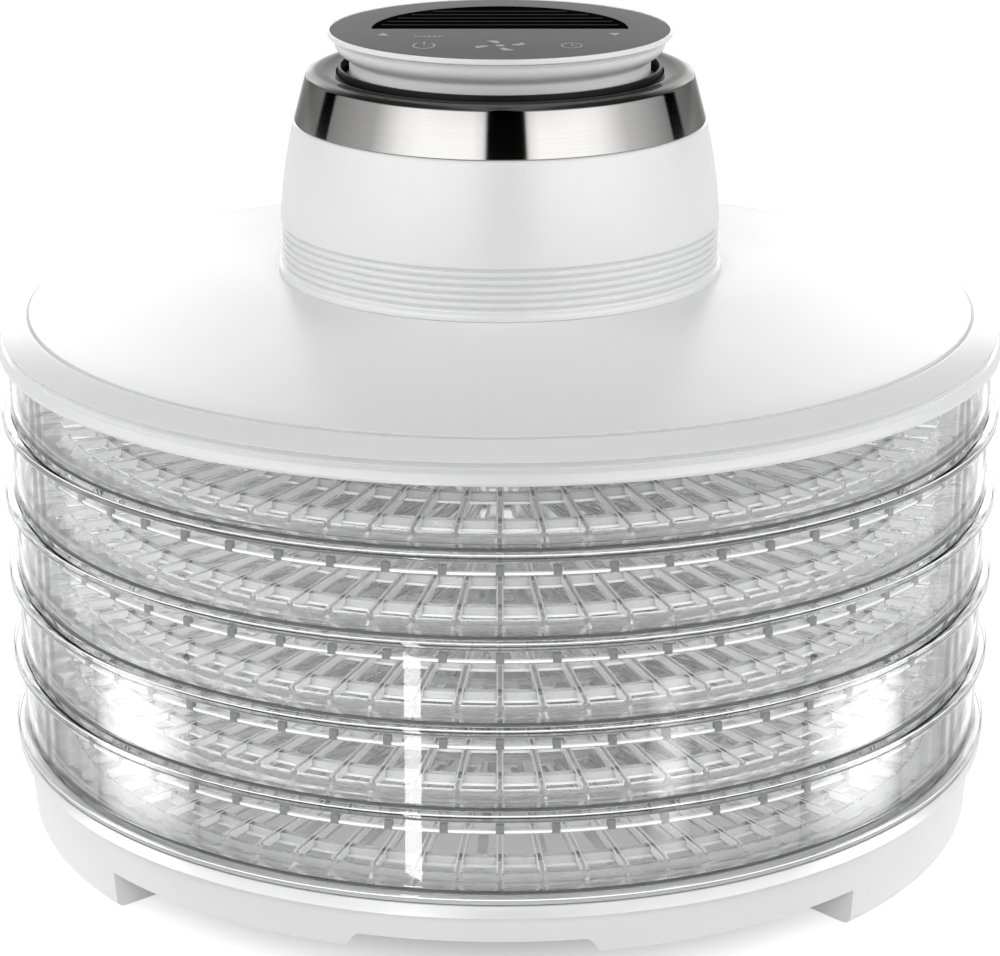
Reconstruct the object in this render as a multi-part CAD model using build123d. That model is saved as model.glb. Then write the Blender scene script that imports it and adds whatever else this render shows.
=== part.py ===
from build123d import *
from math import cos, radians, sin, sqrt, tan
import os

# Round food dehydrator: a white base on two wide feet, five clear trays that stack, and a lift-off
# head of a domed lid, a motor housing with a steel ring and a round cap with a touch panel.
# Millimetres, +Z up, front towards -Y, origin on the axis at the level the feet stand on.

# Stack
outer_radius = 165.0          # bead round each tray, the widest part
base_height = 31.0            # floor to the top of the base flange
tray_count = 5
tray_pitch = 27.0             # height that each tray adds to the stack
stack_gap = 0.4               # radial play between a nesting ring and the wall round it

# Base
base_turn = -3.0              # degrees: the base stands a little turned under the head
flange_inset = 0.5            # flange edge inside the tray bead
flange_height = 4.0
skirt_inset = 2.9             # top of the skirt inside the flange edge
skirt_taper = 1.0             # how far the skirt draws in towards its lower edge
skirt_edge_height = 13.5      # floor to the lower edge of the skirt
skirt_wall = 2.5
ledge_depth = 9.0             # ledge that carries the base floor
ledge_height = 2.5
base_floor_drop = 7.5         # flange top down to the base floor
base_floor_height = 2.5
notch_half_angle = 13.7       # finger notch in the skirt, front and back
notch_height = 4.5
vent_count = 36
vent_inner_radius = 36.0
vent_band = 88.0              # radial length of a vent slot
vent_bar = 3.0                # material left between two vents

# Feet: hollow mouldings under the skirt, left and right
foot_half_angle = 43.7
foot_depth = 24.0             # radial depth of a foot
foot_taper = 1.0
foot_wall = 2.5
foot_chamfer = 3.0
pad_radius = 6.0
pad_height = 2.5
pad_stand = 1.0               # pad standing proud of the foot
pad_angle = 30.0              # pads either side of the middle of a foot

# Trays
bead_height = 4.0
bead_proud = 3.0              # bead standing out from the tray wall
tray_wall = 2.4
nest_depth = 6.0              # ring under the wall, inside the tray below
nest_wall = 2.0
grid_height = 3.4
grid_band = 7.6               # plain band round the openings of the floor
rib_count = 72
rib_width = 2.0
ring_width = 3.2              # concentric ring between the two rows of openings
outer_row_length = 37.0
inner_row_length = 70.0

# Lid
lid_overlap = 4.1             # skirt of the lid over the wall of the top tray
lid_play = 0.6
lid_rim = 1.8                 # skirt thickness at its lower edge
lid_flare = 0.6
lid_wall = 2.6
lid_face_drop = 0.4           # top of the skirt's face below the wall of the top tray
lid_step_in = 2.0             # groove between the skirt and the shoulder
lid_step_height = 0.6
lid_lip_out = 0.8             # lip over the groove
lid_lip_height = 1.8
lid_shoulder_run = 9.0
lid_shoulder_height = 4.6
lid_brow_in = 0.8             # small step between the shoulder and the dome
lid_brow_height = 1.3
lid_dome_height = 10.0
lid_crown = 0.8               # bow of the dome over a straight cone
lid_flat_margin = 3.0         # flat centre of the lid outside the housing
duct_radius = 50.0

# Motor housing
housing_foot_radius = 70.9    # at the grooves
foot_bead = 1.5               # foot standing out past the grooves
foot_bead_height = 2.0
housing_top_radius = 67.1
housing_height = 49.5
housing_wall = 2.5
housing_bulge = 0.8
plain_band = 2.7              # foot of the housing below the grooves
groove_count = 6
groove_pitch = 2.42
groove_depth = 0.7
neck_play = 1.2               # inner neck inside the steel ring
neck_wall = 2.5
column_width = 9.0            # four screw columns on the inside of the housing
column_depth = 7.5
column_drop = 9.0             # top of a column below the housing shoulder
column_root = 1.2             # column sunk in the housing wall
column_play = 0.4             # round what fits between or against the columns

# Steel ring
ring_wall = 1.0
ring_foot_inset = 0.2
ring_taper = 3.7
ring_wall_height = 13.5
ring_shoulder_in = 2.9
ring_shoulder_height = 2.5
ring_crown_in = 3.2
ring_crown_height = 0.2
ring_lip_in = 4.2
ring_lip_drop = 0.8
ring_lip_clear = 1.7          # steel lip above the inlet grille

# Inlet grille under the cap
inlet_height = 2.0
inlet_bar_count = 16
inlet_bar = 3.0
inlet_outer_band = 5.0
inlet_inner_band = 2.5        # grille inside the collar that stands on it
inlet_slot_margin = 1.0       # grille outside the collar
inlet_ring_gap = 0.4          # upstanding ring of the grille inside the steel lip
inlet_ring_wall = 1.0
inlet_ring_height = 3.4

# Cap
cap_overhang = 6.8            # cap rim outside its collar
cap_rim_height = 3.3
cap_rim_wall = 0.7
cap_taper_height = 5.0
cap_bowl_in = 2.0             # round underside of the cap: inside the rim, and above the collar
cap_bowl_height = 1.9
collar_gap = 4.2              # open ring between the collar and the steel lip
collar_wall = 2.2
collar_height = 6.8
cap_floor = 2.3
cap_floor_margin = 3.5        # cap floor left round the opening for the touch pads
panel_height = 1.8
panel_gap = 0.1
louvre_margin = 13.5          # panel left round the louvre
louvre_front = 1.0            # straight edge of the louvre in front of the axis
louvre_frame = 2.4
louvre_slots = 6
louvre_slat = 2.2
louvre_seat = 2.7             # cap floor under the edge of the louvre
board_height = 1.6
board_gap = 1.5               # board edge inside the collar
board_back = 4.0              # straight edge of the board in front of the louvre
touch_pad_radius = 4.0
touch_margin = 1.5            # touch pads inside the edge of their opening
touch_back_margin = 0.9       # outer pads in front of its straight edge
touch_angles = (-127.0, -54.0)
touch_middle_inset = 6.8      # middle touch pad further in than the others

# Fan and motor
shaft_radius = 2.0
shaft_play = 0.05
motor_radius = 19.0
motor_height = 18.0
nose_radius = 6.0
nose_height = 3.0             # nose through the bracket
shaft_stand = 14.0            # shaft below the motor nose
shaft_depth = 16.0            # shaft inside the motor
bore_clear = 1.0              # bore of the motor past the end of the shaft
bracket_height = 2.0
bracket_ring = 24.0
bracket_arm = 9.0
fan_radius = 52.0
fan_gap = 1.0                 # motor nose down to the hub
hub_radius = 12.0
hub_height = 11.0
blade_count = 7
blade_thick = 1.4
blade_pitch = 33.0            # degrees from level
blade_chord = 17.0
blade_root = 1.0              # blade sunk in the hub

# Heater and guard in the duct
guard_margin = 8.0            # guard outside its screws
guard_height = 2.5
guard_slots = 24
guard_bar = 4.0
guard_hub = 22.0
heater_key = 0.9              # frame past the inner faces of the columns, which key it
heater_height = 9.0
heater_bar = 13.0             # bar between the two fin packs
pack_length = 82.0
pack_width = 24.0
pack_inset = 0.5              # fin pack below and above the frame faces
fin_count = 12
fin_thick = 1.6
cutout_radius = 6.0
cutout_height = 3.0
cutout_offset = 20.0

# Cord gland in the back of the housing
gland_height = 27.0           # above the lid
gland_radius = 6.0
gland_bore = 3.2
gland_bore_depth = 3.0        # blind seat for the cord
gland_flange_radius = 8.5
gland_flange_height = 2.5
gland_reach = 6.0             # inside the housing wall
gland_stand = 0.4             # flange clear of the widest part of the housing

# Screws
screw_radius = 1.6
screw_head_radius = 3.0
screw_head_height = 2.0
screw_depth = 10.0            # thread in the column

# Sizes worked out from the ones above
flange_radius = outer_radius - flange_inset
skirt_top_radius = flange_radius - skirt_inset
skirt_edge_radius = skirt_top_radius - skirt_taper
flange_z = base_height - flange_height
base_floor_z = base_height - base_floor_drop - base_floor_height
wall_radius = outer_radius - bead_proud
tray_inner_radius = wall_radius - tray_wall
nest_radius = tray_inner_radius - stack_gap
floor_radius = nest_radius - nest_wall
ledge_radius = tray_inner_radius - ledge_depth
grid_radius = floor_radius - grid_band
stack_top = base_height + tray_count * tray_pitch

lid_inner_radius = wall_radius + lid_play
lid_edge_z = stack_top - lid_overlap
lid_edge_radius = lid_inner_radius + lid_rim
lid_widest_radius = lid_edge_radius + lid_flare
lid_groove_radius = lid_widest_radius - lid_step_in
lid_groove_z = stack_top + lid_step_height
lid_lip_radius = lid_groove_radius + lid_lip_out
lid_lip_z = lid_groove_z + lid_lip_height
lid_step_radius = lid_lip_radius - lid_shoulder_run
lid_step_z = lid_lip_z + lid_shoulder_height
lid_brow_radius = lid_step_radius - lid_brow_in
lid_brow_z = lid_step_z + lid_brow_height
lid_top_z = lid_brow_z + lid_dome_height
bead_radius = housing_foot_radius + foot_bead
lid_flat_radius = bead_radius + lid_flat_margin
lid_under_z = lid_top_z - lid_wall

housing_top_z = lid_top_z + housing_height
bulge_radius = (housing_foot_radius + housing_top_radius) / 2 + housing_bulge
widest_radius = max(housing_foot_radius, bulge_radius, housing_top_radius)
ring_foot_radius = housing_top_radius - ring_foot_inset
ring_top_radius = ring_foot_radius - ring_taper
ring_top_z = housing_top_z + ring_wall_height
ring_shoulder_radius = ring_top_radius - ring_shoulder_in
ring_shoulder_z = ring_top_z + ring_shoulder_height
ring_crown_radius = ring_shoulder_radius - ring_crown_in
ring_crown_z = ring_shoulder_z + ring_crown_height
ring_lip_radius = ring_crown_radius - ring_lip_in
ring_lip_z = ring_crown_z - ring_lip_drop
inlet_top_z = ring_lip_z - ring_lip_clear
neck_top_z = inlet_top_z - inlet_height
neck_radius = ring_top_radius - ring_wall - neck_play
neck_inner_radius = neck_radius - neck_wall
column_radius = housing_top_radius - housing_wall - column_depth / 2
column_top_z = housing_top_z - column_drop

collar_radius = ring_lip_radius - collar_gap
collar_inner_radius = collar_radius - collar_wall
cap_radius = collar_radius + cap_overhang
cap_taper_z = inlet_top_z + collar_height
cap_rim_z = cap_taper_z + cap_taper_height
inlet_ring_radius = ring_lip_radius - inlet_ring_gap
cap_top_z = cap_rim_z + cap_rim_height
panel_z = cap_top_z - panel_height
panel_radius = cap_radius - cap_rim_wall
louvre_radius = panel_radius - louvre_margin
cap_floor_z = panel_z - cap_floor
pad_window_radius = collar_inner_radius - cap_floor_margin
board_radius = collar_inner_radius - board_gap

motor_z = column_top_z + bracket_height
motor_top_z = motor_z + motor_height
nose_z = motor_z - nose_height
hub_top_z = nose_z - fan_gap
hub_z = hub_top_z - hub_height
shaft_z = nose_z - shaft_stand
guard_z = lid_under_z - guard_height
guard_radius = column_radius + guard_margin
heater_radius = column_radius - column_depth / 2 + heater_key
heater_top_z = lid_top_z + heater_height
pack_offset = (heater_bar + pack_width) / 2


def turned(*outline, sweep=360.0):
    """Turn a closed outline of radius and height about the axis."""
    corners = [Vector(radius, 0, height) for radius, height in outline]
    return revolve(Face(Wire.make_polygon(corners)), Axis.Z, sweep)


def post(radius, low, high, x=0.0, y=0.0):
    """An upright round bar."""
    return Pos(x, y, low) * extrude(Circle(radius), high - low)


def block(length, width, low, high, x=0.0, y=0.0):
    """An upright bar with a rectangular section, centred at x, y."""
    return Pos(x, y, low) * extrude(Rectangle(length, width), high - low)


def polar(radius, angle):
    """A point in plan, at an angle in degrees from +X."""
    return (radius * cos(radians(angle)), radius * sin(radians(angle)))


def slot_row(inner, outer, count, bar):
    """Outlines of a round row of openings, with bars of one width left between them."""
    half_pitch = radians(180 / count)
    half_bar = bar / 2 / cos(half_pitch)
    corners = []
    for radius in (inner, outer):
        corners.append((radius, radius * tan(half_pitch) - half_bar))
    (near, near_half), (far, far_half) = corners
    opening = Polyline((near, -near_half), (far, -far_half), (far, far_half), (near, near_half), close=True)
    return [Wire(opening.edges()).rotate(Axis.Z, (k + 0.5) * 360 / count) for k in range(count)]


def pierced_disc(radius, low, high, openings):
    """A round plate with openings right through it."""
    plate = Face(Wire(Edge.make_circle(radius)), openings)
    return Pos(0, 0, low) * Solid.extrude(plate, Vector(0, 0, high - low))


def columns():
    """Plan positions of the four screw columns."""
    return [polar(column_radius, 45 + 90 * k) for k in range(4)]


def column_block(play, top):
    """One screw column on +X, out past the housing wall, with play all round for what fits between."""
    inner_end = column_radius - column_depth / 2 - play
    run = widest_radius - inner_end
    return block(run, column_width + 2 * play, lid_top_z, top, inner_end + run / 2)


# Base and feet

def foot_block(inset, low, high):
    """One foot as a solid, or its hollow when inset by the wall, centred on +X."""
    outer_high = skirt_edge_radius - inset
    outer_low = outer_high - foot_taper
    inner = skirt_edge_radius - foot_depth + inset
    half = foot_half_angle - inset / radians(1) / skirt_edge_radius
    solid = turned((inner, low), (outer_low, low), (outer_high, high), (inner, high), sweep=2 * half)
    return solid.rotate(Axis.Z, -half)


def make_foot():
    high = base_floor_z - ledge_height
    foot = foot_block(0.0, pad_stand, high)
    under = foot.faces().sort_by(Axis.Z)[0]
    foot = chamfer(under.edges(), foot_chamfer)
    foot -= foot_block(foot_wall, pad_stand + foot_wall + pad_height, high)
    for x, y in pad_spots():
        foot -= post(pad_radius, pad_stand, pad_height, x, y)
    return foot


def pad_spots():
    middle = skirt_edge_radius - foot_depth / 2
    return [polar(middle, side * pad_angle) for side in (-1, 1)]


def make_base():
    high = base_floor_z - ledge_height
    inner = skirt_edge_radius - skirt_wall
    ring = turned(
        (inner, skirt_edge_height), (skirt_edge_radius, skirt_edge_height), (skirt_top_radius, flange_z),
        (flange_radius, flange_z), (flange_radius, base_height), (tray_inner_radius, base_height),
        (tray_inner_radius, base_floor_z), (ledge_radius, base_floor_z), (ledge_radius, high), (inner, high))
    reach = 2 * outer_radius
    half_width = skirt_edge_radius * sin(radians(notch_half_angle))
    notch = block(2 * half_width, 2 * reach, skirt_edge_height, skirt_edge_height + notch_height)
    ring -= notch - post(inner - skirt_wall, 0, base_height)
    foot = make_foot()
    for turn in (0, 180):
        ring += foot.rotate(Axis.Z, turn)
    return ring.rotate(Axis.Z, base_turn)


def make_foot_pads():
    pads = []
    for turn in (0, 180):
        for x, y in pad_spots():
            pads.append(post(pad_radius, 0, pad_height, x, y).rotate(Axis.Z, turn + base_turn))
    return pads


def make_base_floor():
    vents = slot_row(vent_inner_radius, vent_inner_radius + vent_band, vent_count, vent_bar)
    low = base_floor_z
    return pierced_disc(nest_radius, low, low + base_floor_height, vents).rotate(Axis.Z, base_turn)


# Trays, each a wall ring with its bead and nesting ring, and a ribbed floor

def make_tray_wall():
    return turned(
        (floor_radius, -nest_depth), (nest_radius, -nest_depth), (nest_radius, 0), (outer_radius, 0),
        (outer_radius, bead_height), (wall_radius, bead_height), (wall_radius, tray_pitch),
        (tray_inner_radius, tray_pitch), (tray_inner_radius, grid_height), (floor_radius, grid_height))


def make_tray_grid():
    outer_row = slot_row(grid_radius - outer_row_length, grid_radius, rib_count, rib_width)
    inner_end = grid_radius - outer_row_length - ring_width
    inner_row = slot_row(inner_end - inner_row_length, inner_end, rib_count // 2, rib_width)
    return pierced_disc(floor_radius, 0, grid_height, outer_row + inner_row)


# Head: lid, housing and steel ring

def make_lid():
    dome_middle = ((lid_brow_radius + lid_flat_radius) / 2, (lid_brow_z + lid_top_z) / 2 + lid_crown)
    under_radius = tray_inner_radius - lid_play
    lid = turned(
        (lid_inner_radius, lid_edge_z), (lid_edge_radius, lid_edge_z),
        (lid_widest_radius, stack_top - lid_face_drop), (lid_groove_radius, lid_groove_z),
        (lid_lip_radius, lid_lip_z), (lid_step_radius, lid_step_z), (lid_brow_radius, lid_brow_z),
        dome_middle, (lid_flat_radius, lid_top_z), (duct_radius, lid_top_z), (duct_radius, lid_under_z),
        (lid_flat_radius, lid_under_z), (lid_brow_radius, lid_brow_z - lid_wall), (under_radius, stack_top),
        (lid_inner_radius, stack_top))
    for x, y in columns():
        lid -= post(screw_radius, lid_under_z, lid_top_z, x, y)
    return lid


def housing_outline():
    """Outer line of the housing, from its foot up past the grooves to the shoulder."""
    line = [(bead_radius, lid_top_z), (bead_radius, lid_top_z + foot_bead_height)]
    groove_z = lid_top_z + plain_band
    for k in range(groove_count):
        low = groove_z + k * groove_pitch
        line.append((housing_foot_radius, low))
        line.append((housing_foot_radius - groove_depth, low + groove_pitch / 2))
    grooves_top = groove_z + groove_count * groove_pitch
    line.append((housing_foot_radius, grooves_top))
    line.append((bulge_radius, (grooves_top + housing_top_z) / 2))
    line.append((housing_top_radius, housing_top_z))
    return line


def make_motor_housing():
    foot, *rise = housing_outline()
    shoulder = housing_top_z - housing_wall
    inner_line = (
        (neck_radius, housing_top_z), (neck_radius, neck_top_z), (neck_inner_radius, neck_top_z),
        (neck_inner_radius, shoulder), (housing_top_radius - housing_wall, shoulder),
        (housing_foot_radius - housing_wall - groove_depth, lid_top_z))
    shell = turned(foot, *rise, *inner_line)
    foot_inner = housing_foot_radius - groove_depth - housing_wall + column_root
    top_inner = housing_top_radius - housing_wall + column_root
    plug = turned((0, lid_top_z), (foot_inner, lid_top_z), (top_inner, housing_top_z), (0, housing_top_z))
    for k, (x, y) in enumerate(columns()):
        shell += column_block(0, column_top_z).rotate(Axis.Z, 45 + 90 * k) & plug
        shell -= post(screw_radius, lid_top_z, lid_top_z + screw_depth, x, y)
        shell -= post(screw_radius, column_top_z - screw_depth, column_top_z, x, y)
    gland_z = lid_top_z + gland_height
    shell -= gland_bar(gland_radius, gland_z, 0, 2 * widest_radius)
    return shell


def gland_bar(radius, height, low, high):
    """A round bar along +Y, for the gland and its hole."""
    return Pos(0, low, height) * (Rot(-90, 0, 0) * extrude(Circle(radius), high - low))


def make_steel_ring():
    half = ring_wall / 2
    return turned(
        (ring_foot_radius - ring_wall, housing_top_z), (ring_foot_radius, housing_top_z),
        (ring_top_radius, ring_top_z), (ring_shoulder_radius, ring_shoulder_z),
        (ring_crown_radius, ring_crown_z), (ring_lip_radius, ring_lip_z),
        (ring_lip_radius + half, ring_lip_z - half), (ring_crown_radius, ring_crown_z - ring_wall),
        (ring_shoulder_radius - half, ring_shoulder_z - ring_wall),
        (ring_top_radius - ring_wall, ring_top_z - half))


def make_inlet_grille():
    inner = collar_radius + inlet_slot_margin
    outer = neck_radius - inlet_outer_band
    openings = slot_row(inner, outer, inlet_bar_count, inlet_bar)
    hub = Wire(Edge.make_circle(collar_inner_radius - inlet_inner_band))
    grille = pierced_disc(neck_radius, neck_top_z, inlet_top_z, openings + [hub])
    high = inlet_top_z + inlet_ring_height
    bore = inlet_ring_radius - inlet_ring_wall
    return grille + (post(inlet_ring_radius, neck_top_z, high) - post(bore, neck_top_z, high))


# Cap with the touch panel

def half_disc(radius, straight, low, high, side):
    """Part of a round bar on one side of a straight edge across it, side +1 to the back."""
    depth = 2 * radius
    return post(radius, low, high) & block(depth, depth, low, high, 0, straight + side * depth / 2)


def make_cap_shell():
    shell = turned(
        (collar_inner_radius, inlet_top_z), (collar_radius, inlet_top_z), (collar_radius, cap_taper_z),
        (cap_radius - cap_bowl_in, cap_taper_z + cap_bowl_height), (cap_radius, cap_rim_z),
        (cap_radius, cap_top_z), (panel_radius, cap_top_z), (panel_radius, panel_z), (0, panel_z),
        (0, cap_floor_z), (collar_inner_radius, cap_floor_z))
    shell -= half_disc(louvre_radius - louvre_seat, louvre_seat - louvre_front, cap_floor_z, panel_z, 1)
    return shell - half_disc(pad_window_radius, -board_back - louvre_seat, cap_floor_z, panel_z, -1)


def make_control_panel():
    panel = post(panel_radius - panel_gap, panel_z, cap_top_z)
    return panel - half_disc(louvre_radius + panel_gap, -louvre_front - panel_gap, panel_z, cap_top_z, 1)


def make_top_louvre():
    louvre = half_disc(louvre_radius, -louvre_front, panel_z, cap_top_z, 1)
    inside = half_disc(louvre_radius - louvre_frame, louvre_frame - louvre_front, panel_z, cap_top_z, 1)
    pitch = (louvre_radius + louvre_front - 2 * louvre_frame + louvre_slat) / louvre_slots
    for k in range(louvre_slots):
        middle = louvre_frame - louvre_front + (k + 0.5) * pitch - louvre_slat / 2
        louvre -= block(2 * louvre_radius, pitch - louvre_slat, panel_z, cap_top_z, 0, middle) & inside
    return louvre


def make_control_board():
    return half_disc(board_radius, -board_back, cap_floor_z - board_height, cap_floor_z, -1)


def make_touch_pads():
    reach = pad_window_radius - touch_pad_radius - touch_margin
    back = -board_back - louvre_seat - touch_back_margin - touch_pad_radius
    side = sqrt(reach ** 2 - back ** 2)
    spots = [(-side, back), (side, back)] + [polar(reach, angle) for angle in touch_angles]
    spots.append(polar(reach - touch_middle_inset, -90))
    return [post(touch_pad_radius, cap_floor_z, panel_z, x, y) for x, y in spots]


# Motor and fan

def make_motor():
    motor = post(motor_radius, motor_z, motor_top_z) + post(nose_radius, nose_z, motor_z)
    return motor - post(shaft_radius + shaft_play, nose_z, nose_z + shaft_depth + bore_clear)


def make_motor_bracket():
    bracket = post(bracket_ring, column_top_z, motor_z)
    reach = column_radius + column_depth / 2 - column_play
    for k in range(4):
        arm = block(reach, bracket_arm, column_top_z, motor_z, reach / 2)
        bracket += arm.rotate(Axis.Z, 45 + 90 * k)
    for x, y in columns():
        bracket -= post(screw_radius, column_top_z, motor_z, x, y)
    return bracket - post(nose_radius, column_top_z, motor_z)


def make_fan_shaft():
    return post(shaft_radius, shaft_z, nose_z + shaft_depth)


def make_fan_rotor():
    root = hub_radius - blade_root
    across = Plane(origin=(root, 0, hub_z + hub_height / 2), x_dir=(0, 1, 0), z_dir=(1, 0, 0))
    blade = extrude(across * Rot(0, 0, blade_pitch) * Rectangle(blade_chord, blade_thick), fan_radius - root)
    rotor = post(hub_radius, hub_z, hub_top_z)
    for k in range(blade_count):
        rotor += blade.rotate(Axis.Z, k * 360 / blade_count)
    return rotor - post(shaft_radius, hub_z, hub_top_z)


# Heater and guard

def make_heater_frame():
    frame = post(heater_radius, lid_top_z, heater_top_z)
    for side in (-1, 1):
        frame -= block(pack_length, pack_width, lid_top_z, heater_top_z, 0, side * pack_offset)
    for k in range(4):
        frame -= column_block(column_play, heater_top_z).rotate(Axis.Z, 45 + 90 * k)
    return frame


def make_heater_packs():
    low = lid_top_z + pack_inset
    high = heater_top_z - pack_inset
    pitch = (pack_length - fin_thick) / fin_count
    packs = []
    for side in (-1, 1):
        pack = block(pack_length, pack_width, low, high, 0, side * pack_offset)
        for k in range(fin_count):
            x = (k + 0.5 - fin_count / 2) * pitch
            pack -= block(pitch - fin_thick, pack_width - 2 * fin_thick, low, high, x, side * pack_offset)
        packs.append(pack)
    return packs


def make_thermal_cutout():
    return post(cutout_radius, heater_top_z, heater_top_z + cutout_height, cutout_offset)


def make_fan_guard():
    slots = slot_row(guard_hub, duct_radius, guard_slots, guard_bar)
    holes = [Wire(Edge.make_circle(screw_radius)).translate((x, y, 0)) for x, y in columns()]
    return pierced_disc(guard_radius, guard_z, lid_under_z, slots + holes)


def make_cord_gland():
    gland_z = lid_top_z + gland_height
    inside = housing_top_radius - housing_wall - gland_reach
    outside = widest_radius + gland_stand
    gland = gland_bar(gland_radius, gland_z, inside, outside)
    end = outside + gland_flange_height
    gland += gland_bar(gland_flange_radius, gland_z, outside, end)
    return gland - gland_bar(gland_bore, gland_z, end - gland_bore_depth, end)


# Screws

def make_screw(x, y, seat, tip):
    """A pan-head screw from the seat of its head to its tip, pointing up or down."""
    side = 1 if tip > seat else -1
    low, high = sorted((seat, tip))
    head_low, head_high = sorted((seat, seat - side * screw_head_height))
    return post(screw_radius, low, high, x, y) + post(screw_head_radius, head_low, head_high, x, y)


def make_lid_screws():
    return [make_screw(x, y, guard_z, lid_top_z + screw_depth) for x, y in columns()]


def make_bracket_screws():
    return [make_screw(x, y, motor_z, column_top_z - screw_depth) for x, y in columns()]


nodes = {
    "base": make_base(),
    "base_floor": make_base_floor(),
    "foot_pads": make_foot_pads(),
    "lid": make_lid(),
    "motor_housing": make_motor_housing(),
    "steel_ring": make_steel_ring(),
    "inlet_grille": make_inlet_grille(),
    "cap_shell": make_cap_shell(),
    "control_panel": make_control_panel(),
    "top_louvre": make_top_louvre(),
    "control_board": make_control_board(),
    "touch_pads": make_touch_pads(),
    "motor": make_motor(),
    "motor_bracket": make_motor_bracket(),
    "fan_shaft": make_fan_shaft(),
    "fan_rotor": make_fan_rotor(),
    "heater_frame": make_heater_frame(),
    "heater_packs": make_heater_packs(),
    "thermal_cutout": make_thermal_cutout(),
    "fan_guard": make_fan_guard(),
    "cord_gland": make_cord_gland(),
    "lid_screws": make_lid_screws(),
    "bracket_screws": make_bracket_screws(),
}
tray_wall_ring = make_tray_wall()
tray_grid = make_tray_grid()
for number in range(1, tray_count + 1):
    level = Pos(0, 0, base_height + (number - 1) * tray_pitch)
    nodes[f"tray_{number}_wall"] = level * tray_wall_ring
    nodes[f"tray_{number}_grid"] = level * tray_grid

os.makedirs("parts", exist_ok=True)
for name, shape in nodes.items():
    solids = shape if isinstance(shape, list) else shape.solids()
    export_step(Compound(children=list(solids)) if len(solids) > 1 else solids[0], f"parts/{name}.step")
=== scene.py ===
"""Looks of a round food dehydrator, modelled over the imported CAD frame.

White base on two feet, five clear trays, and a head of a domed lid, a grooved motor housing, a brushed
steel ring and a round cap with a touch panel. Metres, +Z up, front towards -Y.
"""
from math import atan2, cos, pi, radians, sin, tau

import bpy
from bpy.props import FloatProperty, FloatVectorProperty, IntProperty, PointerProperty
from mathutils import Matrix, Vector


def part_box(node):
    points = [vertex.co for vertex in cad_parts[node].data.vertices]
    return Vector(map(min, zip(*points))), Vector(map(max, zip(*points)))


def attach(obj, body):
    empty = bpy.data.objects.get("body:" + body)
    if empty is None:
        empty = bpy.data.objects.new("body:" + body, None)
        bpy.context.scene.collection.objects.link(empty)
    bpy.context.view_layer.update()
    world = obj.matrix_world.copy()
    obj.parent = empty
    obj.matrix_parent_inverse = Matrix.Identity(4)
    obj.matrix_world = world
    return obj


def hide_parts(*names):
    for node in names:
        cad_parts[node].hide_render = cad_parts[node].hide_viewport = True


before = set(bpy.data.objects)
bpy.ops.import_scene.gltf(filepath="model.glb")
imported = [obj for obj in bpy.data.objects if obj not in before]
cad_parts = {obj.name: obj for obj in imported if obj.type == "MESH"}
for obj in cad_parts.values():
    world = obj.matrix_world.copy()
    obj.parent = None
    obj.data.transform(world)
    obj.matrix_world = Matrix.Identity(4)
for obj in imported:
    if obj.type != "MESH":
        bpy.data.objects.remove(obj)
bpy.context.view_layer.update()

bl_info = {
    "name": "Food Dehydrator",
    "version": (1, 0, 0),
    "blender": (4, 5, 0),
    "location": "View3D > Sidebar > Dehydrator",
    "description": "Models the looks of a stacking food dehydrator piece by piece",
    "category": "Add Mesh",
}

MM = 0.001
TOUCH = 0.00001
TURN_STEPS = 192
EDGE_STEPS = 180
FINE_STEPS = 256
CUT_DEPTH = 0.006
SMOOTH_ANGLE = radians(30.0)
AXIS = (0.0, 0.0, 1.0)
CENTRE = (0.0, 0.0, 0.0)

TRAY_COUNT = 5
# Radii of a tray: the rings of its floor, the outer end of the ribs, the plain band and the nesting ring
RINGS = (0.037, 0.0615, 0.0865, 0.1115, 0.1362)
FLOOR_EDGE = 0.1472
BAND_EDGE = 0.157
NEST_RADIUS = 0.1582

# Finishes that more than one piece uses
SATIN = dict(roughness=0.33, grain=1100.0, depth=0.00001, spread=0.06, contrast=0.006, shine=1.0)
DARK = dict(grain=1600.0, depth=0.00003, spread=0.1, contrast=0.1)
PRINT = dict(roughness=0.5, depth=0.000004, spread=0.05, contrast=0.05)
ZINC = dict(roughness=0.38, grain=500.0, spread=0.2, contrast=0.1, metallic=1.0)
PLASTIC_IOR = 1.49
# Painted dark reflections: how far a clear wall goes to its painted streak tone, by how far it turns away from the eye
PAINTED_REFLECTION_STREAKS = ((0.0, 0.0), (0.6, 0.0), (0.615, 0.4), (0.64, 0.45), (0.655, 0.0), (0.69, 0.0), (0.7, 0.85), (0.717, 0.85),
           (0.73, 0.0), (0.79, 0.0), (0.8, 0.5), (0.82, 0.5), (0.835, 0.05), (0.875, 0.1), (0.885, 0.8), (0.91, 0.8),
           (0.93, 0.2), (1.0, 0.7))
# Brightness of the studio in reflections, by degrees round the axis from the front
FLAGS = ((-180, 0.4), (-174, 0.5), (-168, 0.85), (-158, 0.85), (-150, 0.14), (-122.6, 0.13), (-122, 0.0),
         (-110.5, 0.0), (-109.9, 0.16), (-76, 0.28), (-58, 0.66), (-46, 0.77), (-16, 0.77), (-8.6, 0.6), (-8, 0.0),
         (15, 0.0), (15.6, 0.6), (22, 0.77), (46, 0.77), (58, 0.7), (76, 0.38), (109.9, 0.16), (110.5, 0.0),
         (122, 0.0), (122.6, 0.13), (150, 0.14), (158, 0.85), (168, 0.85), (174, 0.5), (180, 0.4))
LIGHT_AIM = (0.0, 0.0, 0.13)
FLOOR_SIZE = 12.0
SENSOR_WIDTH = 36.0
BOUNCES = {"max_bounces": 28, "transmission_bounces": 28, "transparent_max_bounces": 40, "glossy_bounces": 12}


def length(name, description, default):
    """A length that a user can change."""
    return FloatProperty(name=name, description=description, default=default, unit="LENGTH")


def colour(name, description, default):
    """A colour that a user can change."""
    return FloatVectorProperty(name=name, description=description, default=default, subtype="COLOR", size=3)


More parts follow.
